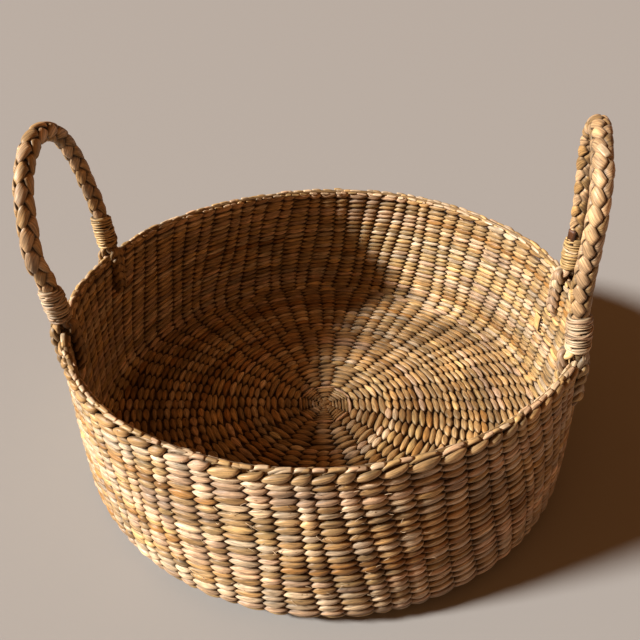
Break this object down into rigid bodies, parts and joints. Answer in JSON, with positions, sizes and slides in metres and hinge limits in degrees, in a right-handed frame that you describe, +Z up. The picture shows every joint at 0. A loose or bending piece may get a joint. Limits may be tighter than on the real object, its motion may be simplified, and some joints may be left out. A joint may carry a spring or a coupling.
{
  "type": "seagrass storage basket",
  "caption": "Round low basket of twined seagrass with a flat base, a slightly oval rim and two upright plaited rope handles, whipped at the foot and laced through the wall.",
  "frame": {"origin": "middle of the base's underside, on the floor", "axes": "+Z up, +X towards the right handle, +Y towards the back"},
  "size_m": [0.3954, 0.385, 0.2627],
  "materials": {
    "base_weave": "matte",
    "wall_weave": "matte",
    "border": "matte",
    "rim_fold": "matte",
    "plait": "matte",
    "whipping": "matte",
    "strand_end": "matte"
  },
  "bodies": {
    "basket": {"base_weave": "base_weave", "wall_weave": "wall_weave", "border_row": "border", "rim_fold": "rim_fold", "wall_strand_end": "strand_end", "left_near_whipping": "whipping", "left_far_whipping": "whipping", "right_near_whipping": "whipping", "right_far_whipping": "whipping", "left_near_inner_leg": "plait", "left_near_outer_leg": "plait", "left_far_inner_leg": "plait", "left_far_outer_leg": "plait", "right_near_inner_leg": "plait", "right_near_outer_leg": "plait", "right_far_inner_leg": "plait", "right_far_outer_leg": "plait"},
    "left_handle": {"left_handle_rope": "plait"},
    "right_handle": {"right_handle_rope": "plait"}
  },
  "joints": [
    {"name": "left_handle_flex", "type": "hinge", "parent": "basket", "child": "left_handle", "pos_m": [-0.18268, -0.04883, 0.166], "axis": [-0.0523, -0.9986, 0], "range_deg": [-35, 35], "stiffness_Nm_per_rad": 0.4},
    {"name": "right_handle_flex", "type": "hinge", "parent": "basket", "child": "right_handle", "pos_m": [0.15609, -0.07768, 0.166], "axis": [0.2892, 0.9573, 0], "range_deg": [-35, 35], "stiffness_Nm_per_rad": 0.4}
  ]
}
